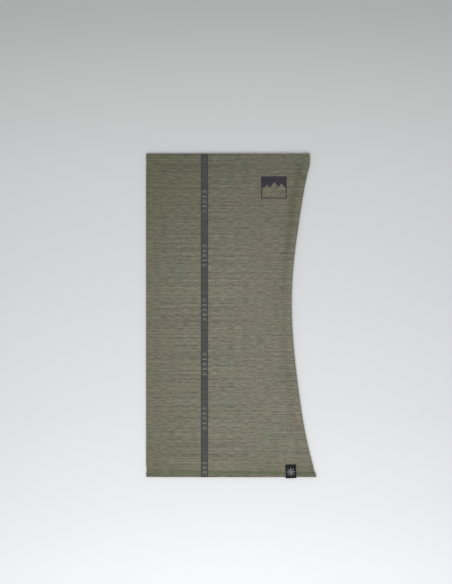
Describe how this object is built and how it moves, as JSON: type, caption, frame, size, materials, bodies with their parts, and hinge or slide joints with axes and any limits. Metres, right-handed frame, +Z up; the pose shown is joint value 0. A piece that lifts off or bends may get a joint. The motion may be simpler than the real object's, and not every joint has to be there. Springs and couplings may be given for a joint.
{
  "type": "neck gaiter",
  "caption": "Flat-lying seamed knit neck tube with turned hems, a printed stripe and badge on the front, a folded woven hem tag and a care label inside.",
  "frame": {"origin": "under the middle of the tube as it lies flat, on the surface it lies on; the middle is that of its box with the hem tag", "axes": "+Y from the bottom hem to the top hem, +X from the fold edge to the side seam, +Z up out of the printed front"},
  "size_m": [0.2534, 0.4816, 0.0096],
  "materials": {
    "merino_jersey": "matte",
    "sewing_thread": "matte",
    "stripe_ink": "matte",
    "mark_ink": "satin",
    "badge_ink": "matte",
    "woven_tag": "matte",
    "tag_yarn": "matte",
    "tag_thread": "matte",
    "satin_label": "satin"
  },
  "bodies": {
    "lower_half": {"lower_fabric": "merino_jersey", "bottom_hem_allowance": "merino_jersey", "bottom_hem_needle_thread": "sewing_thread", "bottom_hem_looper_thread": "sewing_thread", "side_seam_allowance_lower": "merino_jersey", "side_seam_overlock_thread_lower": "sewing_thread", "stripe_print_lower": "stripe_ink", "stripe_marks_lower": "mark_ink", "hem_tag": "woven_tag", "hem_tag_pattern": "tag_yarn", "hem_tag_stitching": "tag_thread"},
    "upper_half": {"upper_fabric": "merino_jersey", "top_hem_allowance": "merino_jersey", "top_hem_needle_thread": "sewing_thread", "top_hem_looper_thread": "sewing_thread", "side_seam_allowance_upper": "merino_jersey", "side_seam_overlock_thread_upper": "sewing_thread", "stripe_print_upper": "stripe_ink", "stripe_marks_upper": "mark_ink", "badge_print": "badge_ink"},
    "label_flap": {"care_label": "satin_label"}
  },
  "joints": [
    {"name": "fold_in_half", "type": "hinge", "parent": "lower_half", "child": "upper_half", "pos_m": [0, 0.0008, 0.0098], "axis": [1, 0, 0], "range_deg": [0, 180]},
    {"name": "care_label_flap", "type": "hinge", "parent": "lower_half", "child": "label_flap", "pos_m": [0.10764, -0.1872, 0.00155], "axis": [-0.2131, 0.977, 0], "range_deg": [0, 8]}
  ]
}
